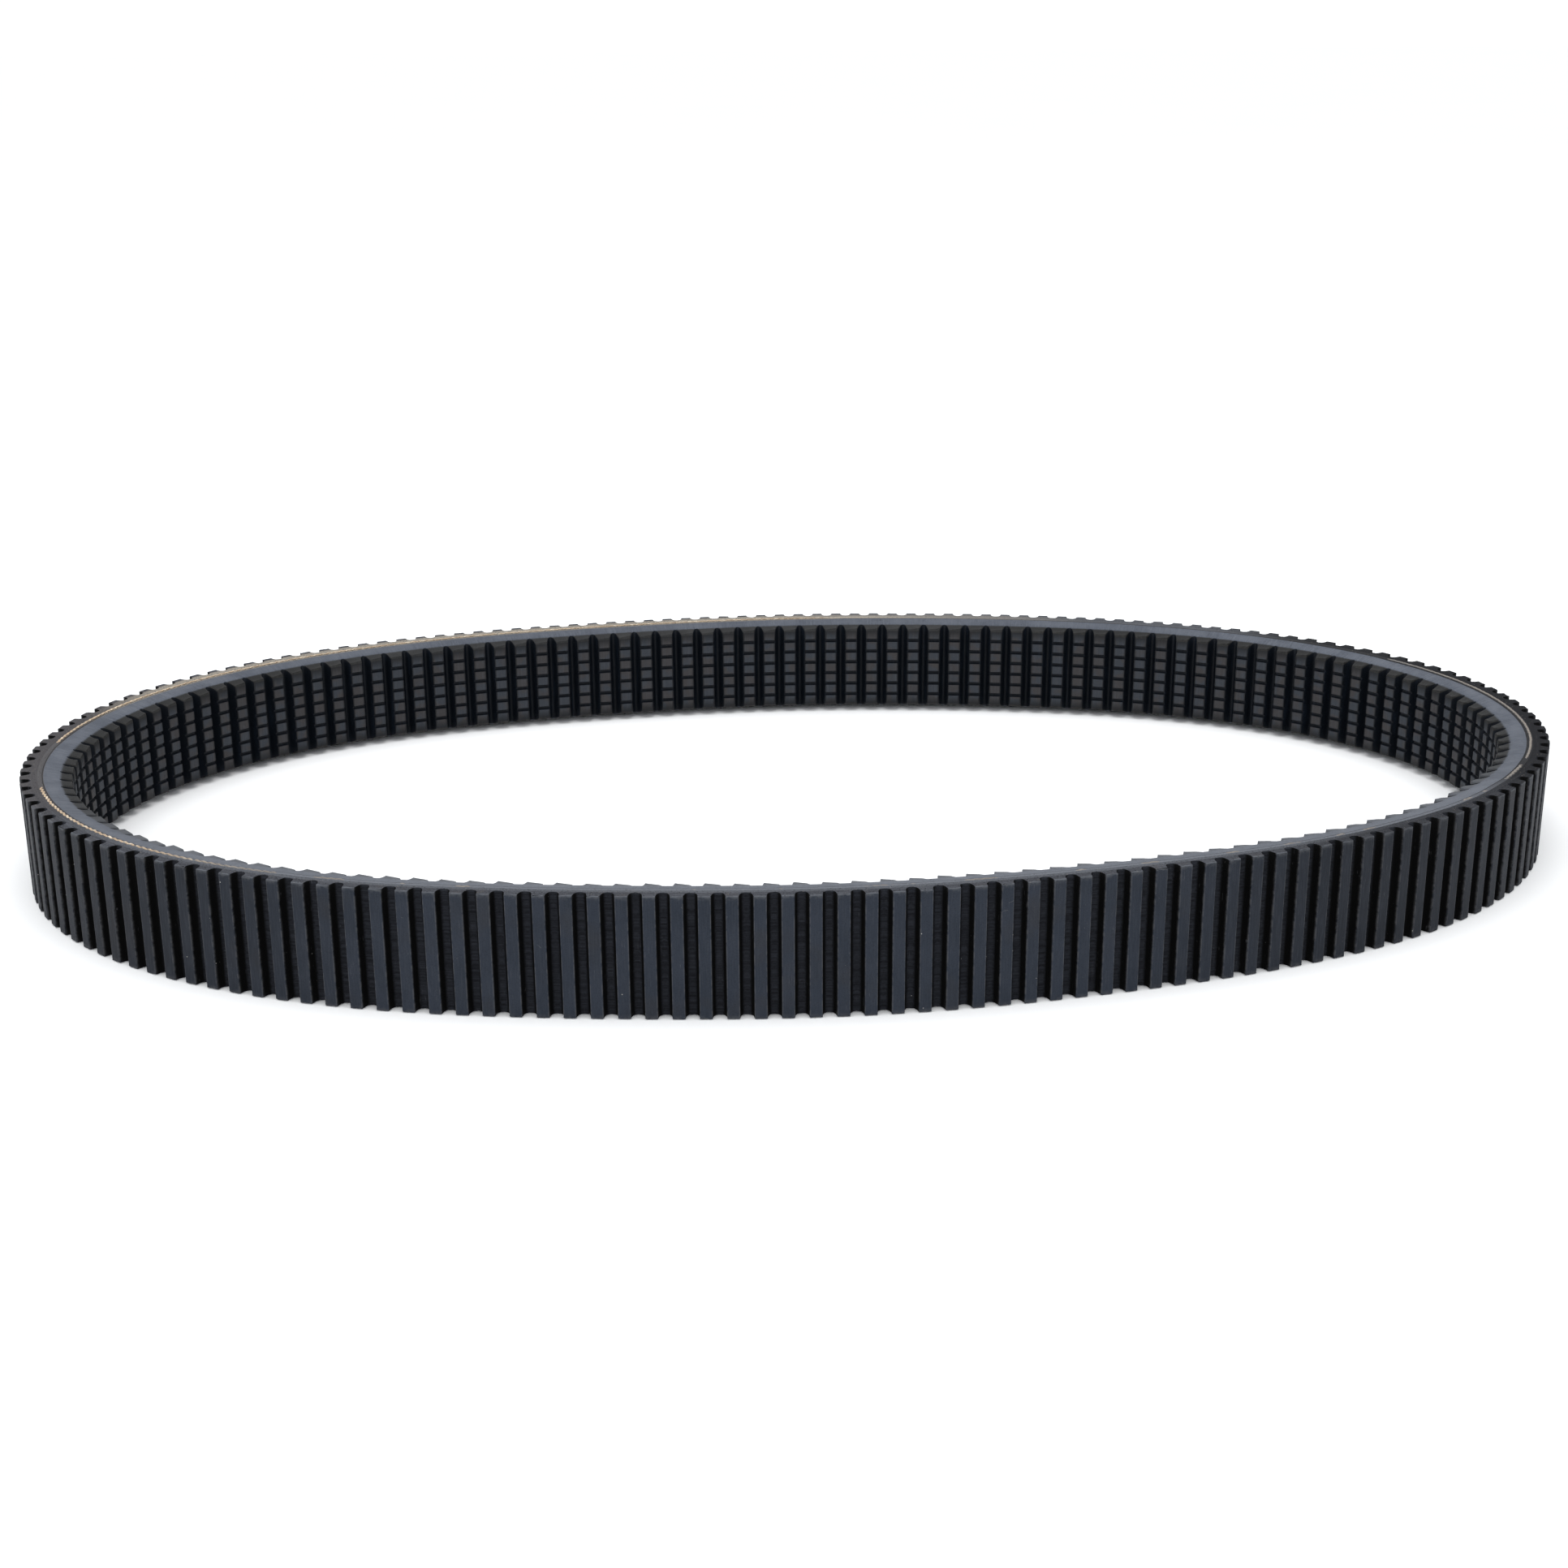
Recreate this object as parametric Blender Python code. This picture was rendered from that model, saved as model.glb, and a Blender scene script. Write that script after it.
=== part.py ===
"""Raw-edge, double-cogged V-belt lying on its side as a loose loop.

The belt is a bonded laminate, so it is modelled as its layers, from the outside of the loop inwards:
ribbed back rubber, upper cushion gum, one wound tensile cord, lower cushion gum, cogged compression rubber.
Depth is measured inwards from the rib tips and height upwards from the floor. Metres, +Z up.
"""

import math

import bmesh
import bpy
import numpy as np

# Belt section
BELT_WIDTH = 0.032
LAYER_GAP = 0.0003
FLANK_ANGLE = math.radians(14.0)
COG_END_ANGLE = math.radians(22.0)

# Depths of the layers below the rib tips
RIB_DEPTH = 0.0028
BACK_RUBBER_DEPTH = 0.00365
UPPER_GUM_THICKNESS = 0.0005
CORD_DEPTH = 0.0055
LOWER_GUM_THICKNESS = 0.0005
COG_ROOT_DEPTH = 0.0106
BELT_DEPTH = 0.0141

# Outer ribs and inner cogs, spaced evenly along the cord line
RIB_COUNT = 170
RIB_PHASE = 0.186
RIB_TIP_SHARE = 0.47
COG_COUNT = 152
COG_PHASE = 0.14
COG_TIP_SHARE = 0.56

# Tensile cord
CORD_DIAMETER = 0.0013
CORD_TURNS = 16
CORD_EDGE_MARGIN = 0.001
CORD_STATIONS_PER_TURN = 52
CORD_SIDES = 4
CORD_OUTWARD_SHIFT = 0.00012
CORD_CLEARANCE = 0.00045

# Plan shape of the loop at the rib tips: a circle with a few smooth swells
LOOP_RADIUS = 0.1733
STRETCH = 0.2465
LEAN = 0.045
EGG = 0.003
SHOULDER = 0.032
SKEW = 0.012
END_FULLNESS = 0.003
CURVE_SAMPLES = 7200

# Gum edges sit just inside the rubber's edge, so that only rubber meets the floor
GUM_EDGE_RECESS = 0.0001


class Loop:
    """The belt's plan curve, with a place for every share of its length and every depth."""

    def __init__(self):
        angle = np.linspace(0.0, 2.0 * math.pi, CURVE_SAMPLES + 1)
        swell = (1.0 + STRETCH * np.cos(2 * angle) + LEAN * np.sin(2 * angle) + EGG * np.cos(3 * angle)
                 + SHOULDER * np.cos(4 * angle) + SKEW * np.sin(4 * angle) + END_FULLNESS * np.cos(5 * angle))
        tips = LOOP_RADIUS * swell[:, None] * np.stack([np.cos(angle), np.sin(angle)], axis=1)
        step = np.roll(tips[:-1], -1, axis=0) - np.roll(tips[:-1], 1, axis=0)
        step = np.vstack([step, step[:1]])
        along = step / np.linalg.norm(step, axis=1)[:, None]
        self.tips = tips
        self.inward = np.stack([-along[:, 1], along[:, 0]], axis=1)
        cord = tips + CORD_DEPTH * self.inward
        run = np.linalg.norm(np.diff(cord, axis=0), axis=1)
        self.share = np.concatenate([[0.0], np.cumsum(run)]) / run.sum()
        turn = np.abs(np.cross(along[:-1], along[1:])) / run
        effort = np.concatenate([[0.0], np.cumsum(np.sqrt(turn) * run)])
        self.effort = effort / effort[-1]
        self.centre = np.zeros(2)

    def at(self, share, depth):
        """Plan point at a share (0 to 1) of the cord's length and a depth below the rib tips."""
        share = share % 1.0
        tip = [np.interp(share, self.share, self.tips[:, k]) for k in (0, 1)]
        inward = [np.interp(share, self.share, self.inward[:, k]) for k in (0, 1)]
        size = math.hypot(inward[0], inward[1])
        return (tip[0] + depth * inward[0] / size - self.centre[0],
                tip[1] + depth * inward[1] / size - self.centre[1])

    def even_bend_share(self, step):
        """Share of the length at an even step of bending, so that chords stay equally close to the curve."""
        return float(np.interp(step % 1.0, self.effort, self.share))


def edge_rise(depth):
    """How far the belt's edge lies in from its full width at a depth: the V flank, then the cogs' ends."""
    flank = min(max(depth - CORD_DEPTH, 0.0), COG_ROOT_DEPTH - CORD_DEPTH)
    cog_end = max(depth - COG_ROOT_DEPTH, 0.0)
    return flank * math.tan(FLANK_ANGLE) + cog_end * math.tan(COG_END_ANGLE)


def rib_profile():
    """One rib and the trough after it, as (pitches from the rib's centre, depth)."""
    half_tip = RIB_TIP_SHARE / 2
    foot = half_tip + 0.05
    return [(-half_tip, 0.0), (half_tip, 0.0), (foot, 0.75 * RIB_DEPTH), (0.5, RIB_DEPTH),
            (1.0 - foot, 0.75 * RIB_DEPTH)]


def cog_profile():
    """One cog from root to root, as (pitches from the cog's centre, depth)."""
    half_tip = COG_TIP_SHARE / 2
    shoulder = half_tip + 0.10
    middle = (COG_ROOT_DEPTH + BELT_DEPTH) / 2
    return [(-0.5, COG_ROOT_DEPTH), (-shoulder, middle), (-half_tip, BELT_DEPTH), (half_tip, BELT_DEPTH),
            (shoulder, middle)]


def add_object(name, mesh, material):
    """Put a bmesh into the scene as a named object with one material."""
    bmesh.ops.recalc_face_normals(mesh, faces=mesh.faces)
    data = bpy.data.meshes.new(name)
    mesh.to_mesh(data)
    mesh.free()
    data.materials.append(material)
    bpy.context.collection.objects.link(bpy.data.objects.new(name, data))


def rubber(name, colour, roughness):
    """A plain rubber or cord material."""
    material = bpy.data.materials.new(name)
    material.use_nodes = True
    shader = material.node_tree.nodes["Principled BSDF"]
    shader.inputs["Base Color"].default_value = (*colour, 1.0)
    shader.inputs["Roughness"].default_value = roughness
    shader.inputs["Metallic"].default_value = 0.0
    return material


def vertex_pair(mesh, loop, share, depth, recess=0.0):
    """The lower and the upper vertex at one place along the belt."""
    x, y = loop.at(share, depth)
    rise = edge_rise(depth) + recess
    return mesh.verts.new((x, y, rise)), mesh.verts.new((x, y, BELT_WIDTH - rise))


def wall(mesh, pairs):
    """A closed wall between the lower and upper vertices of a ring of pairs."""
    for (low_a, high_a), (low_b, high_b) in zip(pairs, pairs[1:] + pairs[:1]):
        mesh.faces.new((low_a, low_b, high_b, high_a))


def edge_faces(mesh, ring):
    """The same face on the belt's lower and upper edge, round a list of pairs."""
    mesh.faces.new([low for low, _ in ring])
    mesh.faces.new([high for _, high in reversed(ring)])


def back_rubber(loop):
    """Outer ribs on their thin base."""
    mesh = bmesh.new()
    profile = rib_profile()
    outside = []
    inside = []
    for rib in range(RIB_COUNT):
        for pitches, depth in profile:
            outside.append(vertex_pair(mesh, loop, (rib + RIB_PHASE + pitches) / RIB_COUNT, depth))
        start = (rib + RIB_PHASE + profile[0][0]) / RIB_COUNT
        inside.append(vertex_pair(mesh, loop, start, BACK_RUBBER_DEPTH))
    wall(mesh, outside)
    wall(mesh, inside)
    points = len(profile)
    for rib in range(RIB_COUNT):
        following = (rib + 1) % RIB_COUNT
        outer = outside[rib * points:(rib + 1) * points] + [outside[following * points]]
        edge_faces(mesh, outer + [inside[following], inside[rib]])
    return mesh


def gum_ring(loop, count, phase, depth, thickness):
    """A thin band with a plain section, on the stations of the rubber beside it."""
    mesh = bmesh.new()
    shares = [(station + phase) / count for station in range(count)]
    outside = [vertex_pair(mesh, loop, share, depth, GUM_EDGE_RECESS) for share in shares]
    inside = [vertex_pair(mesh, loop, share, depth + thickness, GUM_EDGE_RECESS) for share in shares]
    wall(mesh, outside)
    wall(mesh, inside)
    for station in range(count):
        following = (station + 1) % count
        edge_faces(mesh, [outside[station], outside[following], inside[following], inside[station]])
    return mesh


def tensile_cord(loop):
    """One cord wound round and round the loop, from the lower edge to the upper."""
    mesh = bmesh.new()
    radius = CORD_DIAMETER / 2
    low = CORD_EDGE_MARGIN + radius
    rise = BELT_WIDTH - 2 * low
    sections = CORD_TURNS * CORD_STATIONS_PER_TURN
    rings = []
    for section in range(sections + 1):
        share = loop.even_bend_share(section / CORD_STATIONS_PER_TURN)
        height = low + rise * section / sections
        ring = []
        for side in range(CORD_SIDES):
            angle = 2 * math.pi * side / CORD_SIDES
            depth = CORD_DEPTH - CORD_OUTWARD_SHIFT + radius * math.cos(angle)
            x, y = loop.at(share, depth)
            ring.append(mesh.verts.new((x, y, height + radius * math.sin(angle))))
        rings.append(ring)
    for before, after in zip(rings, rings[1:]):
        for side in range(CORD_SIDES):
            following = (side + 1) % CORD_SIDES
            mesh.faces.new((before[side], before[following], after[following], after[side]))
    mesh.faces.new(rings[0])
    mesh.faces.new(reversed(rings[-1]))
    return mesh


def compression_rubber(loop, depth):
    """The fibre-loaded band that grips the sheaves, with the inner cogs."""
    mesh = bmesh.new()
    profile = cog_profile()
    outside = []
    inside = []
    for cog in range(COG_COUNT):
        start = (cog + COG_PHASE - 0.5) / COG_COUNT
        outside.append(vertex_pair(mesh, loop, start, depth))
        for pitches, point_depth in profile:
            inside.append(vertex_pair(mesh, loop, (cog + COG_PHASE + pitches) / COG_COUNT, point_depth))
    wall(mesh, outside)
    wall(mesh, inside)
    points = len(profile)
    for cog in range(COG_COUNT):
        following = (cog + 1) % COG_COUNT
        root = inside[cog * points]
        next_root = inside[following * points]
        edge_faces(mesh, [outside[cog], outside[following], next_root, root])
        edge_faces(mesh, [root, next_root] + list(reversed(inside[cog * points + 1:(cog + 1) * points])))
    return mesh


def centre_loop(loop):
    """Move the curve so that the box round the rib tips is centred on the origin."""
    half_tip = RIB_TIP_SHARE / 2
    corners = [loop.at((rib + RIB_PHASE + side) / RIB_COUNT, 0.0)
               for rib in range(RIB_COUNT) for side in (-half_tip, half_tip)]
    corners = np.array(corners)
    loop.centre = (corners.min(axis=0) + corners.max(axis=0)) / 2


def main():
    for existing in list(bpy.data.objects):
        bpy.data.objects.remove(existing, do_unlink=True)
    loop = Loop()
    centre_loop(loop)
    back_colour = rubber("back_rubber", (0.035, 0.038, 0.045), 0.62)
    gum_colour = rubber("cushion_gum", (0.020, 0.019, 0.018), 0.75)
    cord_colour = rubber("cord", (0.50, 0.38, 0.27), 0.80)
    compression_colour = rubber("compression_rubber", (0.060, 0.066, 0.080), 0.55)

    upper_gum_depth = BACK_RUBBER_DEPTH + LAYER_GAP
    lower_gum_depth = CORD_DEPTH - CORD_OUTWARD_SHIFT + CORD_DIAMETER / 2 + CORD_CLEARANCE
    compression_depth = lower_gum_depth + LOWER_GUM_THICKNESS + LAYER_GAP
    rib_stations = RIB_PHASE - RIB_TIP_SHARE / 2

    add_object("back_rubber_with_ribs", back_rubber(loop), back_colour)
    upper_gum = gum_ring(loop, RIB_COUNT, rib_stations, upper_gum_depth, UPPER_GUM_THICKNESS)
    add_object("upper_cushion_gum", upper_gum, gum_colour)
    add_object("tensile_cord", tensile_cord(loop), cord_colour)
    lower_gum = gum_ring(loop, COG_COUNT, COG_PHASE - 0.5, lower_gum_depth, LOWER_GUM_THICKNESS)
    add_object("lower_cushion_gum", lower_gum, gum_colour)
    add_object("compression_rubber_with_cogs", compression_rubber(loop, compression_depth), compression_colour)


main()
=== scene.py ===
"""Looks for a raw-edge, double-cogged V-belt lying on its side as a loose loop. Metres, +Z up.

Every layer of the belt is a ring: a closed section carried round the loop. A place on the belt is given
by its share of the cord's length (0 to 1), its depth below the rib tips and its height above the floor.
Shares start at the right end and pass the back (0.25), the left end (0.5) and the front (0.75).
"""

import math

import bpy
import numpy as np
from mathutils import Matrix, Vector


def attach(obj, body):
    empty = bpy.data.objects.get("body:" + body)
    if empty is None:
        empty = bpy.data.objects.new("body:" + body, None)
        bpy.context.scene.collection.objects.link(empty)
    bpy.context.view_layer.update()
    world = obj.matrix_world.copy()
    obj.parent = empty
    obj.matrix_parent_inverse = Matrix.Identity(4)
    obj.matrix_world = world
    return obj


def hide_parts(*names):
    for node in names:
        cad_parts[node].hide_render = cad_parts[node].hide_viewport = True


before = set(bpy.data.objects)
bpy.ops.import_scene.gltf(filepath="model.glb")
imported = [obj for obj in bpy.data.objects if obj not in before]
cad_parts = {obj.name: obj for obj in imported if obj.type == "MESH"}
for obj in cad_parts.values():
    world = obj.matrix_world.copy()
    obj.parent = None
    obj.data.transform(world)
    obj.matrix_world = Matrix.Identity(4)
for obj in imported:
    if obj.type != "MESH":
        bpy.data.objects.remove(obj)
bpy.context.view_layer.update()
RNG = np.random.default_rng(7)

# Belt section, as in the CAD model
BELT_WIDTH = 0.032
FLANK_ANGLE = math.radians(14.0)
COG_END_ANGLE = math.radians(22.0)
RIB_DEPTH = 0.0028
CORD_DEPTH = 0.0055
COG_ROOT_DEPTH = 0.0106
BELT_DEPTH = 0.0141
RIB_COUNT = 170
RIB_PHASE = 0.186
RIB_TIP_SHARE = 0.47
COG_COUNT = 152
COG_PHASE = 0.14
COG_TIP_SHARE = 0.56

# Layer boundaries as the cut edge shows them, closed up where the CAD model keeps its gaps. The cavity is
# the hidden space between the two gums that the wound cord lies in, and the recess roughens them beside it.
BACK_RUBBER_BASE = 0.0046
CORD_SPLIT_DEPTH = 0.0055
LOWER_GUM_BASE = 0.0064
CAVITY_OUTER = 0.00462
CAVITY_INNER = 0.00612
CAVITY_EDGE = 0.0008
CORD_RECESS = 0.00003

# Dip of the cut edge beside the cord: where it starts and stops, and its depth over buried and bare cord
DIP_START = 0.0031
DIP_STOP = 0.0076
DIP_BURIED = 0.00004
DIP_BARE = 0.00018

# Plan shape of the loop at the rib tips, as in the CAD model
LOOP_RADIUS = 0.1733
STRETCH = 0.2465
LEAN = 0.045
EGG = 0.003
SHOULDER = 0.032
SKEW = 0.012
END_FULLNESS = 0.003
CURVE_SAMPLES = 7200

# Meshing: points on a rounded corner, and the angle above which an edge stays sharp
CORNER_POINTS = 3
SHARP_ANGLE = math.radians(38.0)

# Rounded edges, and how far a rib or cog strays from its place, in pitches
RIB_CORNER = 0.00016
RIB_END_CORNER = 0.00014
COG_CORNER = 0.0002
COG_SOFTENED = 0.0002
STRAY = 0.006

# Ragged cut ends of the ribs, lower and upper, and the first row of points in from an end
RAGGED_ENDS = (0.00022, 0.00016)
FIRST_ROW = 0.0012

# Lengthwise grooves in the inner cogs
GROOVE_COUNT = 6
GROOVE_PITCH = 0.00388
GROOVE_WIDTH = 0.0013
GROOVE_DEPTH = 0.0008
GROOVE_WANDER = 0.00006

# How far the cutting has drawn up the cogs' ends, and how that falls off from the leading edge by station
LOWER_BURR = 0.00020
UPPER_BURR = 0.00075
BURR_STATIONS = (0, 2, 3, 4, 7)
BURR_SHARES = (0.85, 1.0, 0.9, 0.5, 0.08)

# Camera: its place in belt widths from the origin of the plan curve, then its pitch and roll in radians
CAMERA_X = -0.09092
CAMERA_BACK = 19.47939
CAMERA_UP = 7.03079
CAMERA_PITCH = 0.32615
CAMERA_ROLL = -0.00672
LENS_MM = 50.358

# How far one outer trough is from a half round (2) towards a square (higher)
TROUGH_ROUNDNESS = 2.5

# How flat the floor of an inner notch is: its depth falls off with this power of the way across
NOTCH_POWER = 2.6

# Plies of the wound cord, as the cut edge bares them
CORD_LINE_DEPTH = 0.0053
PLY_COUNT = 2
PLY_RADIUS = 0.00038
PLY_WIND_RADIUS = 0.00021
PLY_LAY = 0.0046
PLY_STEP = 0.00030
PLY_CUT_IN = 0.00014
PLY_TAPER = 0.006
PLY_PATCH = 0.004
PLY_SUNK = 0.0007
PLY_SMEARED = 0.00034
PLY_DRIFT = 0.00007
PLY_DRIFT_TURN = 4000.0
PLY_DRIFT_KNOTS = 60
PLY_SIDES = 8

# Stretches of bare cord: start and stop by share of the loop, how much is smeared over, how open the twist
BARE_UPPER = [(0.541, 0.645, 0.16, 1.0), (0.643, 0.690, 0.55, 0.8), (0.24, 0.512, 0.12, 1.0),
              (-0.036, 0.072, 0.06, 0.35), (0.944, 0.966, 0.15, 1.0), (0.915, 0.942, 0.80, 1.0),
              (0.690, 0.90, 0.90, 0.6)]
BARE_LOWER = [(0.02, 0.16, 0.2, 0.7), (0.22, 0.30, 0.85, 1.0), (0.33, 0.45, 0.25, 1.0),
              (0.60, 0.83, 0.3, 1.0)]

# What the materials read: depths in millimetres, and textures squeezed across and along the belt
MM = 1000.0
TEXTURE_SQUEEZE = {"ring": (1.0, 1.0), "across_streak": (0.06, 1.0), "along_streak": (1.0, 0.05)}

# Thin dark line in each gum: its start and stop in depth, in millimetres, and its strength
UPPER_LINE = (4.65, 4.72, 0.25)
LOWER_LINE = (6.06, 6.20, 0.9)

# Stage
FLOOR_SIZE = 60.0
FLOOR_LEVEL = -0.0002
SKY_COLOUR = (0.96, 0.98, 1.0)
SKY_TILT = (-0.20, -0.42, 0.0)
WORLD_STRENGTH = 1.12
OVERHEAD_PLACE = (0.0, -0.1, 1.4)
OVERHEAD_SIZE = (1.6, 1.2)
OVERHEAD_POWER = 11.0
SENSOR_MM = 36.0

# Colours, linear
RIB_DARK = (0.0165, 0.0212, 0.0305)
RIB_LIGHT = (0.0212, 0.0262, 0.0372)
RIB_BROWN = (0.0245, 0.0240, 0.0258)
# Painted shade: the ribs darker towards both ends of the loop
RIB_END_SHADE = (0.0060, 0.0062, 0.0074)
RIB_STREAK = (0.0310, 0.0355, 0.0450)
# Lighter rib corners and ends: partly rubbing, partly a painted rim highlight
RIB_WORN_HIGHLIGHT = (0.080, 0.080, 0.083)
RIB_FRAYED = (0.062, 0.067, 0.076)
# Painted shade on the trough walls, and a painted highlight along the trough floors, broken up by wrinkles
TROUGH_WALL_SHADE = (0.0003, 0.0003, 0.0004)
TROUGH_HIGHLIGHT_DIM = (0.0060, 0.0065, 0.0085)
TROUGH_HIGHLIGHT = (0.0230, 0.0250, 0.0315)
CUT_DARK = (0.0250, 0.0262, 0.0310)
CUT_LIGHT = (0.0640, 0.0672, 0.0785)
CUT_LINE = (0.0850, 0.0900, 0.1040)
CUT_BROWN = (0.0650, 0.0600, 0.0610)
CUT_GREY = (0.0900, 0.0940, 0.1050)
CUT_TAN = (0.3000, 0.2680, 0.2240)
CUT_GROUND = (0.1250, 0.1330, 0.1500)
CUT_FRAYED = (0.1150, 0.1230, 0.1400)
# Painted shade on the cut edge around the right end of the loop
CUT_END_SHADE = (0.006, 0.006, 0.007)
FIBRE_PALE = (0.25, 0.22, 0.18)
BAND_DARK = (0.0660, 0.0750, 0.0960)
BAND_LIGHT = (0.0880, 0.0990, 0.1240)
BAND_SCRATCH = (0.1250, 0.1360, 0.1600)
# Painted light along the front of the flank band, painted shade along its back
BAND_FRONT_LIGHT = (0.1500, 0.1600, 0.1820)
BAND_BACK_SHADE = (0.0480, 0.0550, 0.0720)
BAND_SHEEN = (0.1100, 0.1180, 0.1380)
COG_END_DARK = (0.0070, 0.0070, 0.0072)
COG_END_LIGHT = (0.0185, 0.0188, 0.0198)
COG_END_TAN = (0.0240, 0.0238, 0.0240)
# Painted light on the cog ends along the front of the loop, painted shade on them at both ends
COG_END_FRONT_LIGHT = (0.0900, 0.0960, 0.1090)
COG_END_SHADE = (0.0050, 0.0050, 0.0050)
COG_RIM = (0.0600, 0.0570, 0.0520)
BLOCK_BLUE = (0.0235, 0.0275, 0.0345)
BLOCK_BROWN = (0.0285, 0.0265, 0.0275)
BLOCK_STREAK = (0.0380, 0.0400, 0.0460)
# Painted shade round the edges of each cog face
BLOCK_EDGE_SHADE = (0.0040, 0.0045, 0.0055)
# Painted shade in the inner notches, with faint streaks
NOTCH_SHADE = (0.0010, 0.0024, 0.0050)
NOTCH_SHADE_STREAK = (0.0040, 0.0070, 0.0125)
GUM_GROUND = (0.1350, 0.1450, 0.1680)
GUM_SMEARED = (0.3600, 0.3150, 0.2550)
CORD_BROWN = (0.2600, 0.1750, 0.1080)
CORD_TAN = (0.5400, 0.4200, 0.2950)
CORD_PALE = (0.7200, 0.6300, 0.5000)
# Painted shade in the creases where the cord plies sink
CORD_CREASE_SHADE = (0.035, 0.026, 0.020)
CORD_DULL = (0.1350, 0.1300, 0.1280)
CORD_SMEAR = (0.070, 0.058, 0.048)
RIB_SHADE = (0.006, 0.007, 0.010)
SCRATCH_PALE = (0.10, 0.10, 0.11)
HAIR_PALE = (0.16, 0.155, 0.15)
DUST_PALE = (0.36, 0.35, 0.33)
FLUFF_PALE = (0.13, 0.125, 0.12)
COG_FLUFF = (0.12, 0.115, 0.105)
PIT_BLACK = (0.003, 0.003, 0.003)
LINE_BLACK = (0.004, 0.004, 0.005)
GRIND_DARK = (0.020, 0.022, 0.028)
GRAIN_DARK = (0.012, 0.013, 0.016)
DENT_DARK = (0.014, 0.014, 0.017)
FLOOR_DARK = (0.94, 0.94, 0.94)
FLOOR_LIGHT = (0.96, 0.96, 0.96)


class Loop:
    """The belt's plan curve, with a place for every share of its length and every depth."""

    def __init__(self):
        angle = np.linspace(0.0, 2.0 * math.pi, CURVE_SAMPLES + 1)
        swell = (1.0 + STRETCH * np.cos(2 * angle) + LEAN * np.sin(2 * angle) + EGG * np.cos(3 * angle)
                 + SHOULDER * np.cos(4 * angle) + SKEW * np.sin(4 * angle)
                 + END_FULLNESS * np.cos(5 * angle))
        tips = LOOP_RADIUS * swell[:, None] * np.stack([np.cos(angle), np.sin(angle)], axis=1)
        step = np.roll(tips[:-1], -1, axis=0) - np.roll(tips[:-1], 1, axis=0)
        step = np.vstack([step, step[:1]])
        along = step / np.linalg.norm(step, axis=1)[:, None]
        self.tips = tips
        self.inward = np.stack([-along[:, 1], along[:, 0]], axis=1)
        cord = tips + CORD_DEPTH * self.inward
        run = np.linalg.norm(np.diff(cord, axis=0), axis=1)
        self.length = run.sum()
        self.share = np.concatenate([[0.0], np.cumsum(run)]) / self.length
        self.centre = np.zeros(2)
        half_tip = RIB_TIP_SHARE / 2
        rib = np.arange(RIB_COUNT) + RIB_PHASE
        corners = np.concatenate([rib - half_tip, rib + half_tip]) / RIB_COUNT
        outline = self.place(corners, 0.0, 0.0)[:, :2]
        self.centre = (outline.min(axis=0) + outline.max(axis=0)) / 2

    def place(self, share, depth, height):
        """Points in space for arrays of share, depth and height."""
        share, depth, height = np.broadcast_arrays(share, depth, height)
        wrapped = np.mod(share, 1.0)
        tip = [np.interp(wrapped, self.share, self.tips[:, k]) for k in (0, 1)]
        inward = [np.interp(wrapped, self.share, self.inward[:, k]) for k in (0, 1)]
        size = np.hypot(inward[0], inward[1])
        return np.stack([tip[0] + depth * inward[0] / size - self.centre[0],
                         tip[1] + depth * inward[1] / size - self.centre[1],
                         height], axis=-1)


LOOP = Loop()
CORD_LENGTH = LOOP.length


def edge_rise(depth):
    """How far the belt's edge lies in from its full width at a depth: the V flank, then the cogs' ends."""
    flank = np.clip(depth - CORD_DEPTH, 0.0, COG_ROOT_DEPTH - CORD_DEPTH)
    cog_end = np.maximum(depth - COG_ROOT_DEPTH, 0.0)
    return flank * math.tan(FLANK_ANGLE) + cog_end * math.tan(COG_END_ANGLE)


# ---------------------------------------------------------------- meshes

def add_attribute(mesh, name, values):
    """Store a number or a vector per vertex for the materials."""
    if values.ndim == 1:
        mesh.attributes.new(name, "FLOAT", "POINT").data.foreach_set("value", values.astype(np.float32))
    else:
        flat = np.ascontiguousarray(values, dtype=np.float32).ravel()
        mesh.attributes.new(name, "FLOAT_VECTOR", "POINT").data.foreach_set("vector", flat)


def make_object(name, vertices, faces, place, wear_and_shading, materials):
    """A smooth-shaded mesh object that carries each vertex's place on the belt for its materials."""
    mesh = bpy.data.meshes.new(name)
    mesh.from_pydata(vertices.tolist(), [], faces)
    share, depth, height = (place[:, k] for k in range(3))
    turn = 2.0 * math.pi * share
    radius = CORD_LENGTH / (2.0 * math.pi)
    for label, (across, along) in TEXTURE_SQUEEZE.items():
        reach = radius * along - depth * across
        squeezed = np.stack([reach * np.cos(turn), reach * np.sin(turn), height * across], axis=1)
        add_attribute(mesh, label, squeezed)
    half = np.sign(height - BELT_WIDTH / 2)
    add_attribute(mesh, "heading", np.stack([np.cos(turn), np.sin(turn), half], axis=1))
    from_edge = np.minimum(height, BELT_WIDTH - height) * MM
    from_flank = from_edge - edge_rise(depth) * MM
    add_attribute(mesh, "level", np.stack([depth * MM, from_edge, from_flank], axis=1))
    add_attribute(mesh, "wear_and_shading", wear_and_shading)
    for material in materials:
        mesh.materials.append(material)
    mesh.shade_smooth()
    mesh.set_sharp_from_angle(angle=SHARP_ANGLE)
    mesh.update()
    piece = bpy.data.objects.new(name, mesh)
    bpy.context.collection.objects.link(piece)
    return piece


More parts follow.
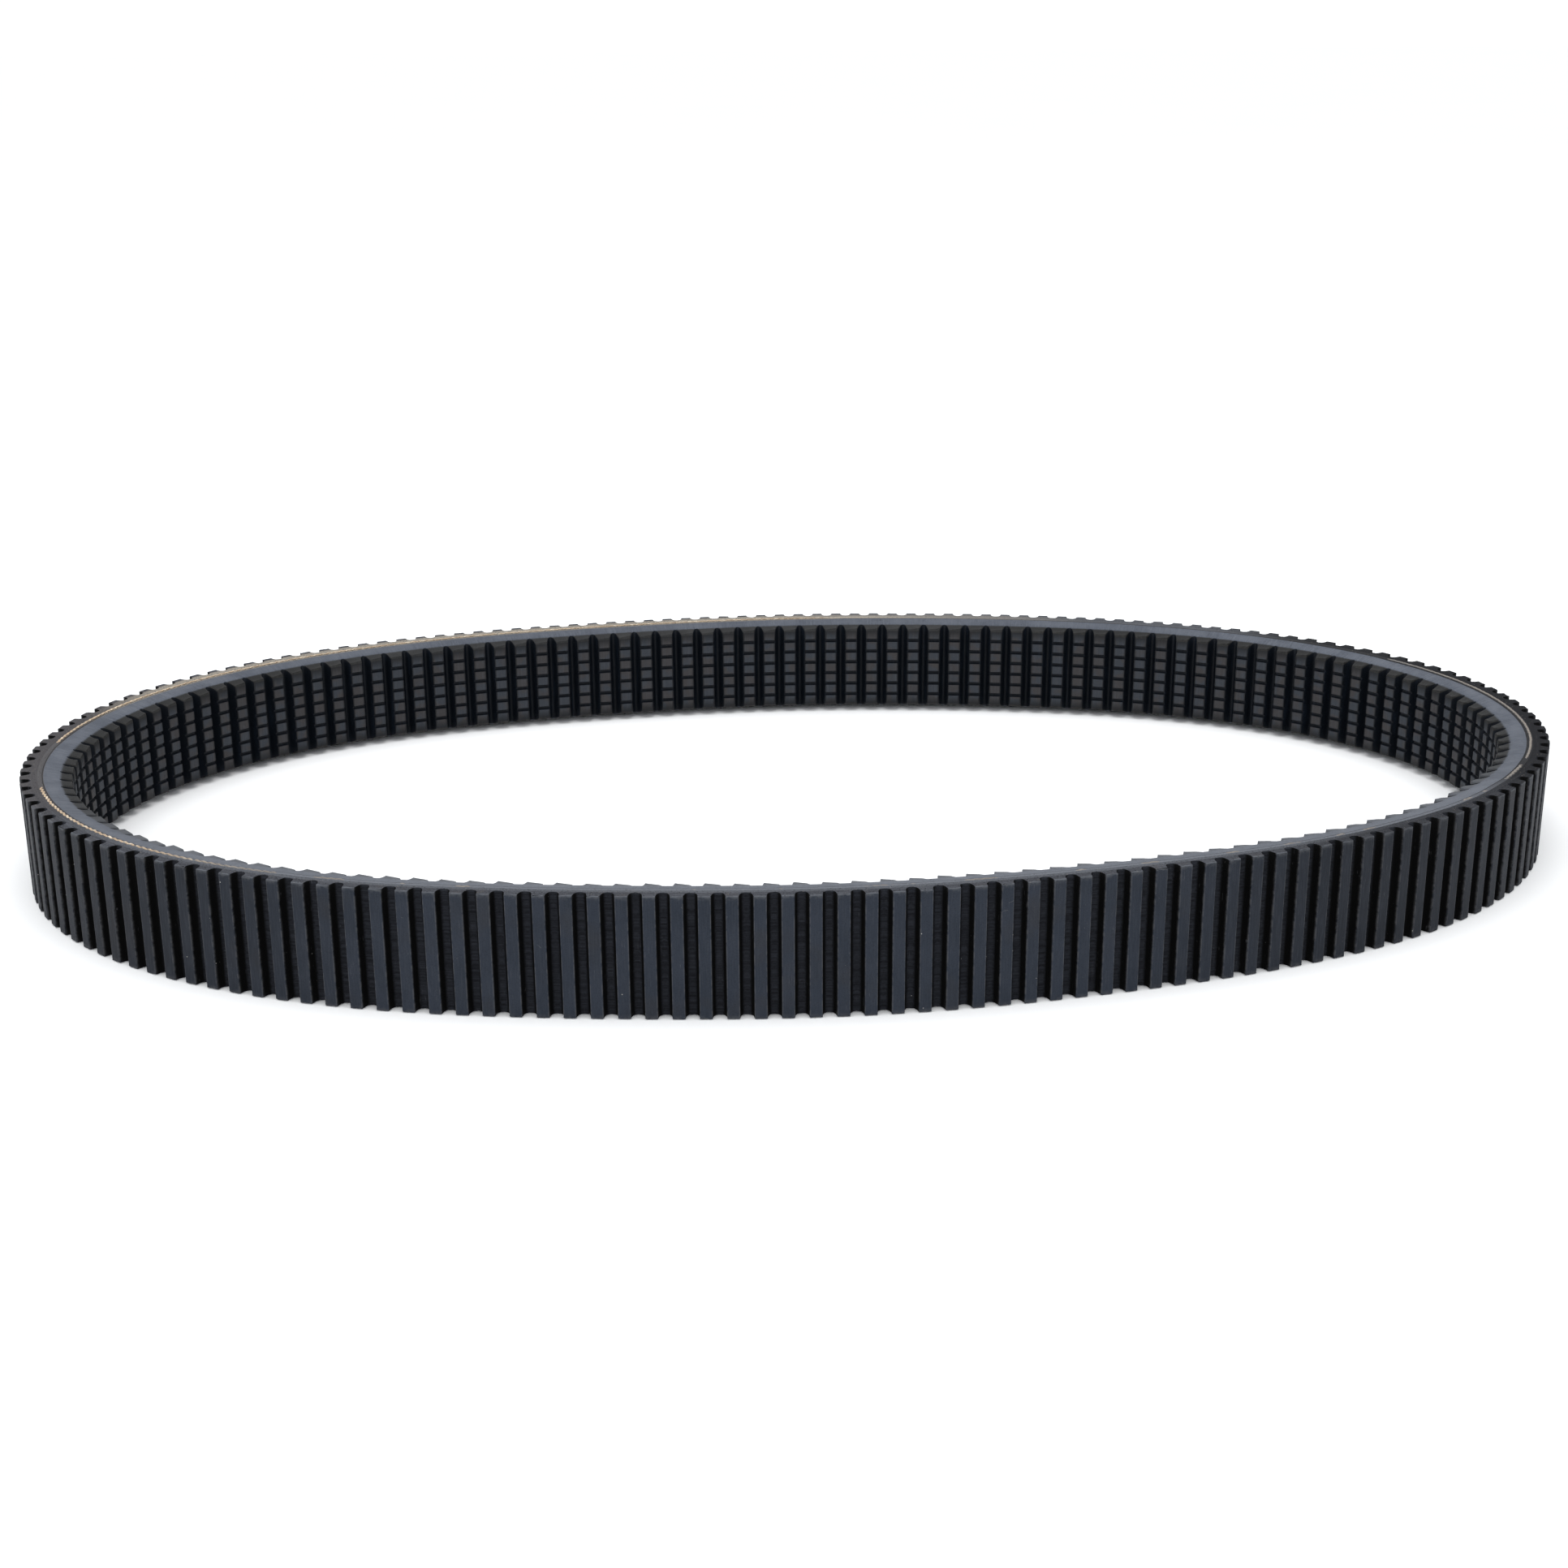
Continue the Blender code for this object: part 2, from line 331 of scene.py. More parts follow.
def ring_piece(name, share, depth, height, wear_and_shading, materials):
    """A closed ring from a grid: stations round the loop by points round the section."""
    share = np.broadcast_to(share, depth.shape)
    wear_and_shading = np.broadcast_to(wear_and_shading, depth.shape)
    stations, points = depth.shape
    vertices = LOOP.place(share, depth, height).reshape(-1, 3)
    index = np.arange(stations * points).reshape(stations, points)
    after = np.roll(index, -1, axis=0)
    faces = np.stack([index, after, np.roll(after, -1, axis=1), np.roll(index, -1, axis=1)], axis=-1)
    place = np.stack([share, depth, height], axis=-1).reshape(-1, 3)
    return make_object(name, vertices, faces.reshape(-1, 4).tolist(), place, wear_and_shading.reshape(-1), materials)


def smooth_noise(count, cells):
    """Periodic noise round the loop, from -1 to 1, with a given number of cells."""
    knots = RNG.uniform(-1.0, 1.0, cells)
    at = np.arange(count) * cells / count
    low = np.floor(at).astype(int)
    part = at - low
    part = part * part * (3.0 - 2.0 * part)
    return knots[low % cells] * (1.0 - part) + knots[(low + 1) % cells] * part


def rounded_corner(corner, pitch):
    """Points over a rounded corner: (pitches in from its side, drop from its top, corner mark for rubbed
    corners, a painted rim highlight and painted edge shade).
    """
    turns = np.linspace(0.0, math.pi / 2, CORNER_POINTS)
    return [(corner / pitch * (1.0 - math.cos(turn)), corner * (1.0 - math.sin(turn)), 1.0)
            for turn in turns]


def rib_stations():
    """Stations along one rib and the trough after it: (pitches from the rib's centre, depth, corner mark
    for rubbed corners and a painted rim highlight).
    """
    half_tip = RIB_TIP_SHARE / 2
    rounded = rounded_corner(RIB_CORNER, CORD_LENGTH / RIB_COUNT)
    stations = [(across - half_tip, depth, wear_and_shading) for across, depth, wear_and_shading in rounded]
    stations += [(-half_tip * 0.8, 0.0, 0.0), (0.0, 0.0, 0.0), (half_tip * 0.8, 0.0, 0.0)]
    stations += [(half_tip - across, depth, wear_and_shading) for across, depth, wear_and_shading in rounded[::-1]]
    half_trough = (1.0 - RIB_TIP_SHARE) / 2
    power = 2.0 / TROUGH_ROUNDNESS
    for turn in np.linspace(0.0, math.pi, 13)[1:-1]:
        across = math.copysign(abs(math.cos(turn)) ** power, math.cos(turn))
        stations.append((0.5 - half_trough * 0.98 * across, RIB_DEPTH * math.sin(turn) ** power, 0.0))
    return np.array(stations)


def cog_stations():
    """Stations along one inner cog and the notch after it: (pitches from the cog's centre, depth, corner
    mark for rubbed rims and painted edge shade).
    """
    half_tip = COG_TIP_SHARE / 2
    height = BELT_DEPTH - COG_ROOT_DEPTH
    rounded = [(across, BELT_DEPTH - drop, wear_and_shading)
               for across, drop, wear_and_shading in rounded_corner(COG_CORNER, CORD_LENGTH / COG_COUNT)]
    stations = [(across - half_tip, depth, wear_and_shading) for across, depth, wear_and_shading in rounded]
    stations += [(-half_tip * 0.68, BELT_DEPTH, 0.0), (half_tip * 0.68, BELT_DEPTH, 0.0)]
    stations += [(half_tip - across, depth, wear_and_shading) for across, depth, wear_and_shading in rounded[::-1]]
    half_notch = (1.0 - COG_TIP_SHARE) / 2
    for across in (-0.8, -0.55, -0.3, -0.1, 0.1, 0.3, 0.55, 0.8):
        rise = height * abs(across) ** NOTCH_POWER
        stations.append((0.5 + half_notch * across, COG_ROOT_DEPTH + rise, 0.0))
    return np.array(stations)


def repeat_stations(stations, count, phase, jitter):
    """The stations of every rib or cog round the loop, each rib or cog a little off its place."""
    wander = RNG.uniform(-jitter, jitter, (count, 1))
    share = (np.arange(count)[:, None] + phase + stations[None, :, 0] + wander) / count
    depth = np.repeat(stations[None, :, 1], count, axis=0)
    wear_and_shading = np.repeat(stations[None, :, 2], count, axis=0)
    return share.ravel(), depth.ravel(), wear_and_shading.ravel()


def back_rubber(materials):
    """Outer ribs on their base, with ragged cut ends."""
    share, depth, corner_wear_and_shading = repeat_stations(rib_stations(), RIB_COUNT, RIB_PHASE, STRAY)
    count = share.size
    per_rib = count // RIB_COUNT
    depth = depth + (depth < 0.0003) * np.repeat(RNG.uniform(0.0, 0.00006, RIB_COUNT), per_rib)
    trough = np.clip(depth / RIB_DEPTH, 0.0, 1.0)
    corner = RIB_END_CORNER
    steps = [(corner * (1.0 - math.sin(turn)), corner * (1.0 - math.cos(turn)))
             for turn in np.linspace(0.0, math.pi / 2, CORNER_POINTS)]
    ends = []
    for ragged in RAGGED_ENDS:
        nick = (np.abs(smooth_noise(count, 1700)) ** 2.0 * 0.00024 * (0.4 + 0.6 * trough)
                + np.abs(smooth_noise(count, 1100)) ** 4.0 * 0.00045 * (1.0 - trough))
        fray = ragged * trough * RNG.uniform(0.0, 1.0, count) + 0.4 * nick
        ends.append([(depth + down + nick * (inset < corner / 2), inset + fray * (inset > 1e-9))
                     for inset, down in steps])
    low_end, high_end = ends
    rows = [(row_depth, inset, 1.0) for row_depth, inset in low_end[::-1]]
    middle_rows = [BELT_WIDTH * eighth / 8 for eighth in range(1, 8)]
    for height in (FIRST_ROW, *middle_rows, BELT_WIDTH - FIRST_ROW):
        ripple = np.abs(smooth_noise(count, 1300)) * 0.00003 * (1.0 + 2.0 * trough)
        rows.append((depth + ripple, np.full(count, height), 0.0))
    rows += [(row_depth, BELT_WIDTH - inset, 1.0) for row_depth, inset in high_end]
    for high, parts in ((True, (0.35, 0.7, 1.0)), (False, (1.0, 0.7, 0.35))):
        for part in parts:
            level = depth + (BACK_RUBBER_BASE - depth) * part
            dip = edge_dip(share, level, BARE_UPPER if high else BARE_LOWER)
            rows.append((level, BELT_WIDTH - dip if high else dip, 0.0))
    depth_grid = np.stack([row[0] for row in rows], axis=1)
    height_grid = np.stack([row[1] for row in rows], axis=1)
    wear_and_shading_grid = np.stack([np.maximum(corner_wear_and_shading, row[2] * (1.0 - 0.5 * trough)) if row[2] else corner_wear_and_shading
                          for row in rows], axis=1)
    return ring_piece("back_rubber", share[:, None], depth_grid, height_grid, wear_and_shading_grid, materials)


def bare_share(share, stretches):
    """How far the cut edge is opened over the cord, from 0 to 1, at each share of the loop."""
    opened = np.zeros(share.size)
    for start, stop, worn_away, _ in stretches:
        middle, half = (start + stop) / 2, (stop - start) / 2
        away = np.abs(np.mod(share - middle + 0.5, 1.0) - 0.5)
        opened = np.maximum(opened, np.clip((half - away) / PLY_TAPER, 0.0, 1.0) * (1.0 - 0.55 * worn_away))
    return opened


def edge_dip(share, depth, stretches):
    """How far the cut edge lies below the full width beside the cord, at places round the loop."""
    outside = np.clip((depth - DIP_START) / (BACK_RUBBER_BASE - DIP_START), 0.0, 1.0)
    inside = np.clip((DIP_STOP - depth) / (DIP_STOP - LOWER_GUM_BASE), 0.0, 1.0)
    return outside * inside * (DIP_BURIED + DIP_BARE * bare_share(share, stretches))


def gum_ring(name, outer, inner, cavity, materials):
    """One half of the cushion gum, closed round the wound cord."""
    count = RIB_COUNT * 10
    share = np.arange(count) / count
    level = np.array([outer, (outer + inner) / 2, inner])
    levels = np.broadcast_to(level, (count, level.size))
    deep = np.array([0.0, 0.5, 1.0] if inner == CORD_SPLIT_DEPTH else [1.0, 0.5, 0.0])
    sides = []
    for stretches in (BARE_LOWER, BARE_UPPER):
        dips = np.stack([edge_dip(share, depth, stretches) for depth in level], axis=1)
        rough = CORD_RECESS * (1.0 + RNG.random((count, 1))) * deep[None, :]
        sides.append(edge_rise(level)[None, :] + dips + rough)
    low, high = sides
    near, far = np.full((count, 1), CAVITY_EDGE), np.full((count, 1), BELT_WIDTH - CAVITY_EDGE)
    back = np.full((count, 1), cavity)
    if inner == CORD_SPLIT_DEPTH:
        meet = np.full((count, 1), inner)
        depth = np.hstack([levels[:, ::-1], levels, meet, back, back, meet])
        height = np.hstack([low[:, ::-1], BELT_WIDTH - high, far, far, near, near])
    else:
        meet = np.full((count, 1), outer)
        depth = np.hstack([levels[:, ::-1], meet, back, back, meet, levels])
        height = np.hstack([low[:, ::-1], near, near, far, far, BELT_WIDTH - high])
    return ring_piece(name, share[:, None], depth, height, np.zeros((count, 1)), materials)


def groove_rows():
    """Heights across the inner face and how deep each row cuts into the cogs."""
    rows = []
    half = GROOVE_WIDTH / 2
    for groove in range(GROOVE_COUNT):
        centre = BELT_WIDTH / 2 + (groove - (GROOVE_COUNT - 1) / 2) * GROOVE_PITCH
        rows += [(centre - half, 0.0), (centre - half * 0.45, GROOVE_DEPTH),
                 (centre + half * 0.45, GROOVE_DEPTH), (centre + half, 0.0)]
    return rows


def compression_rubber(materials):
    """The ground flank band with the grooved inner cogs."""
    share, depth, corner_wear_and_shading = repeat_stations(cog_stations(), COG_COUNT, COG_PHASE, STRAY)
    count = share.size
    per_cog = count // COG_COUNT
    tip = np.clip((depth - COG_ROOT_DEPTH) / (BELT_DEPTH - COG_ROOT_DEPTH), 0.0, 1.0)
    lift = np.tile(np.interp(np.arange(per_cog), BURR_STATIONS, BURR_SHARES), COG_COUNT)
    softened = COG_SOFTENED * tip
    sides = []
    for stretches, height in ((BARE_LOWER, LOWER_BURR), (BARE_UPPER, UPPER_BURR)):
        burr = lift * np.repeat(RNG.uniform(0.75, 1.15, COG_COUNT), per_cog) * height * tip
        ragged = np.abs(smooth_noise(count, 700)) * 0.00010 * tip
        side = []
        for part in (0.0, 0.33, 0.66, 1.0):
            level = np.full(count, LOWER_GUM_BASE + (COG_ROOT_DEPTH - LOWER_GUM_BASE) * part)
            side.append((level, edge_rise(level) + edge_dip(share, level, stretches), 0.0))
        for part in (0.5, 1.0):
            level = COG_ROOT_DEPTH + (depth - COG_ROOT_DEPTH) * part - softened * (part == 1.0)
            side.append((level, edge_rise(level) + (ragged - burr) * part, 1.0 if part == 1.0 else 0.0))
        side.append((depth, edge_rise(depth) + softened + ragged, 1.0))
        sides.append(side)
    low_side, high_side = sides
    rows = list(low_side)
    for height, cut in groove_rows():
        floor = np.minimum(depth, BELT_DEPTH - cut * (0.9 + 0.1 * tip))
        wander = GROOVE_WANDER * np.repeat(RNG.uniform(-1.0, 1.0, COG_COUNT), per_cog)
        rows.append((floor, height + wander * bool(cut), 0.0))
    rows += [(level, BELT_WIDTH - rise, worn) for level, rise, worn in high_side[::-1]]
    depth_grid = np.stack([row[0] for row in rows], axis=1)
    height_grid = np.stack([row[1] for row in rows], axis=1)
    wear_and_shading_grid = np.stack([np.maximum(corner_wear_and_shading, tip * row[2]) for row in rows], axis=1)
    return ring_piece("compression_rubber", share[:, None], depth_grid[:, ::-1], height_grid[:, ::-1],
                      wear_and_shading_grid[:, ::-1], materials)


def exposed_cord(name, stretches, high, materials):
    """Twisted plies of the wound cord where the cut edge lays them bare; their mark is how far they stand
    up, which the cord's material turns into painted shade in the creases.
    """
    sides = PLY_SIDES
    round_turn = 2.0 * math.pi * np.arange(sides) / sides
    vertices, faces, places, crowns = [], [], [], []
    base = 0
    for start, stop, worn_away, twist in stretches:
        wind = PLY_WIND_RADIUS * twist
        length = (stop - start) * CORD_LENGTH
        count = int(length / PLY_STEP)
        along = np.linspace(0.0, length, count)
        share = np.repeat((start + along / CORD_LENGTH)[:, None], sides, axis=1)
        taper = np.clip(np.minimum(along, length - along) / PLY_TAPER, 0.0, 1.0)
        knots = max(4, int(length / PLY_PATCH))
        patches = np.interp(along, np.linspace(0.0, length, knots), RNG.uniform(0.0, 1.0, knots))
        smeared = np.clip((patches - 1.0 + worn_away) / 0.25, 0.0, 1.0)
        sink = PLY_SUNK * (1.0 - taper) + PLY_SMEARED * smeared
        knots = PLY_DRIFT_KNOTS
        drift = PLY_DRIFT * np.interp(along, np.linspace(0.0, length, knots), RNG.uniform(-1.0, 1.0, knots))
        for ply in range(PLY_COUNT):
            turn = 2.0 * math.pi * (along / PLY_LAY + ply / PLY_COUNT) + drift * PLY_DRIFT_TURN
            thick = PLY_RADIUS * (0.78 + 0.20 * twist) * (0.92 + 0.16 * RNG.random(count))
            middle_depth = CORD_LINE_DEPTH + drift + wind * np.cos(turn)
            under = PLY_RADIUS - PLY_CUT_IN + wind * (1.0 - np.sin(turn)) + sink
            depth = middle_depth[:, None] + thick[:, None] * np.cos(round_turn)[None, :]
            below = under[:, None] - thick[:, None] * np.sin(round_turn)[None, :]
            below = np.maximum(below, 0.00002 + 0.00003 * RNG.random(below.shape))
            crown = np.clip(1.0 - below / 0.00030, 0.0, 1.0)
            height = BELT_WIDTH - below if high else below
            vertices.append(LOOP.place(share, depth, height).reshape(-1, 3))
            places.append(np.stack([share, depth, height], axis=-1).reshape(-1, 3))
            crowns.append(crown.ravel())
            index = base + np.arange(count * sides).reshape(count, sides)
            before, after = index[:-1], index[1:]
            corners = [before, after, np.roll(after, -1, axis=1), np.roll(before, -1, axis=1)]
            quads = np.stack(corners, axis=-1)
            faces += (quads[..., ::-1] if high else quads).reshape(-1, 4).tolist()
            for ring, flip in ((index[0], high), (index[-1], not high)):
                cap = ring.tolist()
                faces.append(cap[::-1] if flip else cap)
            base += count * sides
    return make_object(name, np.concatenate(vertices), faces, np.concatenate(places),
                       np.concatenate(crowns), materials)


# ---------------------------------------------------------------- materials

class Material:
    """A procedural material built from short calls."""

    def __init__(self, name, specular):
        self.material = bpy.data.materials.new(name)
        self.material.use_nodes = True
        self.tree = self.material.node_tree
        self.shader = self.tree.nodes["Principled BSDF"]
        self.shader.inputs["Specular IOR Level"].default_value = specular

    def node(self, kind, **settings):
        made = self.tree.nodes.new(kind)
        for key, value in settings.items():
            setattr(made, key, value)
        return made

    def feed(self, socket, value):
        """Link a socket, or set a number or colour on it."""
        if hasattr(value, "is_output"):
            self.tree.links.new(value, socket)
        else:
            socket.default_value = value

    def stored(self, name, output="Vector"):
        made = self.node("ShaderNodeAttribute", attribute_name=name, attribute_type="GEOMETRY")
        return made.outputs[output]

    def part(self, vector, axis):
        split = self.node("ShaderNodeSeparateXYZ")
        self.feed(split.inputs[0], vector)
        return split.outputs[axis]

    def noise(self, vector, size, detail=3.0, roughness=0.55, distortion=0.0):
        """Noise from 0 to 1 whose features are about size metres across."""
        made = self.node("ShaderNodeTexNoise")
        self.feed(made.inputs["Vector"], vector)
        made.inputs["Scale"].default_value = 1.0 / size
        made.inputs["Detail"].default_value = detail
        made.inputs["Roughness"].default_value = roughness
        made.inputs["Distortion"].default_value = distortion
        return made.outputs["Fac"]

    def specks(self, vector, size, density, small, large):
        """A mask of scattered round specks: about one cell in 1 / density holds one."""
        made = self.node("ShaderNodeTexVoronoi")
        self.feed(made.inputs["Vector"], vector)
        made.inputs["Scale"].default_value = 1.0 / size
        tone = made.outputs["Color"]
        radius = self.span(self.part(tone, 1), 0.0, 1.0, small, large, smooth=False)
        near = self.math("LESS_THAN", made.outputs["Distance"], radius)
        return self.math("MULTIPLY", near, self.math("LESS_THAN", self.part(tone, 0), density))

    def hairs(self, vector, size, width, cover):
        """A mask of thin curling lines, kept in patches."""
        lines = self.noise(vector, size, 1.0)
        away = self.math("ABSOLUTE", self.math("SUBTRACT", lines, 0.5))
        patches = self.noise(vector, size * 0.8, 2.0, 0.5, 1.5)
        thin = self.span(away, width, width * 0.4)
        return self.math("MULTIPLY", thin, self.span(patches, 1.0 - cover, 1.03 - cover))

    def span(self, value, low, high, to_low=0.0, to_high=1.0, smooth=True):
        """Map low..high to to_low..to_high, held at both ends; low may be above high."""
        made = self.node("ShaderNodeMapRange", interpolation_type="SMOOTHSTEP" if smooth else "LINEAR")
        if low > high:
            low, high, to_low, to_high = high, low, to_high, to_low
        for socket, number in zip(made.inputs, (value, low, high, to_low, to_high)):
            self.feed(socket, number)
        return made.outputs[0]

    def math(self, operation, first, second=0.0):
        made = self.node("ShaderNodeMath", operation=operation)
        self.feed(made.inputs[0], first)
        self.feed(made.inputs[1], second)
        return made.outputs[0]

    def times(self, *factors):
        product = factors[0]
        for factor in factors[1:]:
            product = self.math("MULTIPLY", product, factor)
        return product

    def mix(self, factor, first, second):
        made = self.node("ShaderNodeMix", data_type="RGBA")
        self.feed(made.inputs["Factor"], factor)
        for socket, value in ((made.inputs[6], first), (made.inputs[7], second)):
            self.feed(socket, (*value, 1.0) if isinstance(value, tuple) else value)
        return made.outputs[2]

    def stretch(self, start, stop, soft=0.02):
        """1 over a stretch of the loop, by shares of its length, with soft ends."""
        middle = math.pi * (start + stop)
        half = math.pi * (stop - start)
        edge = 2.0 * math.pi * soft
        heading = self.stored("heading")
        facing = self.math("ADD", self.times(self.part(heading, 0), math.cos(middle)),
                           self.times(self.part(heading, 1), math.sin(middle)))
        return self.span(facing, math.cos(half + edge), math.cos(max(half - edge, 0.0)))

    def upper(self):
        """1 on the half of the belt nearer its upper edge."""
        return self.math("GREATER_THAN", self.part(self.stored("heading"), 2), 0.0)

    def bump(self, height, distance, strength, normal=None):
        made = self.node("ShaderNodeBump")
        made.inputs["Strength"].default_value = strength
        made.inputs["Distance"].default_value = distance
        self.feed(made.inputs["Height"], height)
        if normal is not None:
            self.feed(made.inputs["Normal"], normal)
        return made.outputs["Normal"]

    def finish(self, colour, roughness, normal):
        self.feed(self.shader.inputs["Base Color"], colour)
        self.feed(self.shader.inputs["Roughness"], roughness)
        self.feed(self.shader.inputs["Normal"], normal)
        return self.material


def cut_edge(m):
    """Colour, roughness and height of a cut rubber edge with its fibre ends, brown or pale in places."""
    ring, streak = m.stored("ring"), m.stored("along_streak")
    fibre = m.noise(ring, 0.00045, 4.0, 0.7, 0.6)
    lines = m.noise(streak, 0.00035, 3.0, 0.6)
    cloud = m.noise(ring, 0.006, 4.0)
    colour = m.mix(m.span(fibre, 0.30, 0.72), CUT_DARK, CUT_LIGHT)
    colour = m.mix(m.span(lines, 0.48, 0.70, 0.0, 0.75), colour, CUT_LINE)
    brown = m.math("MAXIMUM", m.stretch(0.46, 0.56), m.span(cloud, 0.55, 0.72, 0.0, 0.5))
    colour = m.mix(m.times(brown, m.span(fibre, 0.25, 0.6)), colour, CUT_BROWN)
    depth = m.part(m.stored("level"), 0)
    tan = m.times(m.stretch(0.18, 0.47), m.upper(), m.span(fibre, 0.25, 0.55), m.span(depth, 1.4, 3.0))
    colour = m.mix(m.times(tan, 0.85), colour, CUT_TAN)
    ground = m.times(m.stretch(0.58, 0.90), m.span(depth, 2.4, 3.6), m.span(fibre, 0.25, 0.60))
    colour = m.mix(m.times(ground, 0.55), colour, CUT_GROUND)
    edge = m.math("ADD", depth, m.times(m.noise(ring, 0.0014, 3.0, 0.6), 1.4))
    colour = m.mix(m.times(m.span(edge, 1.45, 0.75), m.stretch(0.56, 0.92), 0.7), colour, CUT_FRAYED)
    colour = m.mix(m.times(m.stretch(0.09, 0.24, 0.03), m.span(fibre, 0.2, 0.6), 0.6), colour, CUT_GREY)
    # Painted shade: the cut edge darker around the right end of the loop
    end_shade = m.math("MAXIMUM", m.stretch(-0.06, 0.11), m.times(m.stretch(0.88, 0.98), 0.6))
    colour = m.mix(m.times(end_shade, 0.85), colour, CUT_END_SHADE)
    pale = m.specks(ring, 0.0005, 0.16, 0.08, 0.28)
    colour = m.mix(m.times(pale, 0.5), colour, FIBRE_PALE)
    pits = m.specks(ring, 0.0006, 0.30, 0.12, 0.36)
    colour = m.mix(m.times(pits, 0.7), colour, PIT_BLACK)
    return colour, fibre


def back_rubber_material():
    m = Material("back_rubber", 0.10)
    ring, across, along = m.stored("ring"), m.stored("across_streak"), m.stored("along_streak")
    level = m.stored("level")
    depth = m.part(level, 0)
    wear_and_shading = m.stored("wear_and_shading", "Fac")
    cloud = m.noise(ring, 0.011, 4.0)
    tint = m.noise(ring, 0.017, 3.0)
    grain = m.noise(ring, 0.00035, 3.0, 0.65)
    striation = m.noise(across, 0.00030, 3.0, 0.6)
    wrinkle = m.noise(along, 0.00045, 4.0, 0.65)
    top = m.mix(m.span(cloud, 0.3, 0.7), RIB_DARK, RIB_LIGHT)
    top = m.mix(m.span(tint, 0.52, 0.72, 0.0, 0.45), top, RIB_BROWN)
    # Painted shade: the rib tops darker towards both ends of the loop
    sides = m.math("MAXIMUM", m.stretch(0.44, 0.63, 0.05), m.stretch(-0.14, 0.10, 0.05))
    top = m.mix(m.times(sides, 0.6), top, RIB_END_SHADE)
    top = m.mix(m.span(striation, 0.40, 0.75, 0.0, 0.45), top, RIB_STREAK)
    top = m.mix(m.span(grain, 0.55, 0.35, 0.0, 0.25), top, RIB_SHADE)
    # Painted shade: near-black trough walls; painted highlight: a lighter trough floor
    wall = m.span(depth, 0.10, 0.55)
    floor_mask = m.span(depth, RIB_DEPTH * MM - 0.50, RIB_DEPTH * MM + 0.03)
    floor_highlight = m.mix(m.span(wrinkle, 0.25, 0.75), TROUGH_HIGHLIGHT_DIM, TROUGH_HIGHLIGHT)
    inside = m.mix(floor_mask, TROUGH_WALL_SHADE, floor_highlight)
    colour = m.mix(wall, top, inside)
    # Lighter rib corners and ends: partly rubbing, partly a painted rim highlight
    worn = m.times(wear_and_shading, m.span(m.noise(ring, 0.0016, 3.0, 0.7), 0.35, 0.62), m.span(depth, 1.2, 0.3))
    colour = m.mix(m.times(worn, 0.4), colour, RIB_WORN_HIGHLIGHT)
    scratch = m.times(m.span(m.noise(across, 0.0002, 2.0, 0.5, 0.4), 0.66, 0.72), m.span(cloud, 0.50, 0.64))
    colour = m.mix(m.times(scratch, 0.30), colour, SCRATCH_PALE)
    frayed = m.math("ADD", m.part(level, 1), m.times(m.noise(ring, 0.0011, 3.0, 0.6), 1.3))
    frayed = m.times(m.span(frayed, 1.15, 0.75), m.span(depth, 0.5, 0.2), m.upper())
    colour = m.mix(m.times(frayed, 0.6), colour, RIB_FRAYED)
    hair = m.hairs(ring, 0.007, 0.006, 0.28)
    colour = m.mix(m.times(hair, 0.28), colour, HAIR_PALE)
    dust = m.specks(ring, 0.0030, 0.30, 0.012, 0.055)
    colour = m.mix(m.times(dust, 0.75), colour, DUST_PALE)
    fluff = m.specks(ring, 0.0009, 0.05, 0.03, 0.10)
    colour = m.mix(m.times(fluff, 0.5), colour, FLUFF_PALE)
    cut = m.math("MAXIMUM", m.span(m.part(level, 1), 0.10, 0.03), m.span(depth, 3.0, 3.15))
    cut_colour, fibre = cut_edge(m)
    colour = m.mix(cut, colour, cut_colour)
    rough = m.span(grain, 0.3, 0.7, 0.46, 0.62)
    rough = m.math("MAXIMUM", rough, m.times(wall, 0.85))
    rough = m.math("MAXIMUM", rough, m.times(cut, 0.72))
    pits = m.noise(ring, 0.0009, 5.0, 0.7)
    normal = m.bump(striation, 0.00003, 0.4)
    normal = m.bump(grain, 0.00003, 0.5, normal)
    normal = m.bump(m.times(m.math("ADD", pits, wrinkle), wall), 0.00016, 0.4, normal)
    normal = m.bump(m.times(fibre, cut), 0.00016, 0.7, normal)
    return m.finish(colour, rough, normal)


def gum_material(name, line_start, line_stop, line_strength):
    """Cushion gum at the cut edge, with one thin dark line in it."""
    m = Material(name, 0.22)
    depth = m.part(m.stored("level"), 0)
    colour, fibre = cut_edge(m)
    ground = m.times(m.stretch(0.60, 0.94), m.span(fibre, 0.25, 0.55))
    colour = m.mix(m.times(ground, 0.8), colour, GUM_GROUND)
    smeared = m.times(m.stretch(0.22, 0.48), m.upper(), m.span(fibre, 0.25, 0.60))
    colour = m.mix(m.times(smeared, 0.85), colour, GUM_SMEARED)
    drift = m.times(m.math("SUBTRACT", m.noise(m.stored("ring"), 0.004, 2.0), 0.5), 0.25)
    at = m.math("ADD", depth, drift)
    line = m.times(m.span(at, line_start - 0.12, line_start), m.span(at, line_stop + 0.12, line_stop))
    colour = m.mix(m.times(line, line_strength), colour, LINE_BLACK)
    return m.finish(colour, m.span(fibre, 0.3, 0.7, 0.6, 0.78), m.bump(fibre, 0.00015, 0.8))


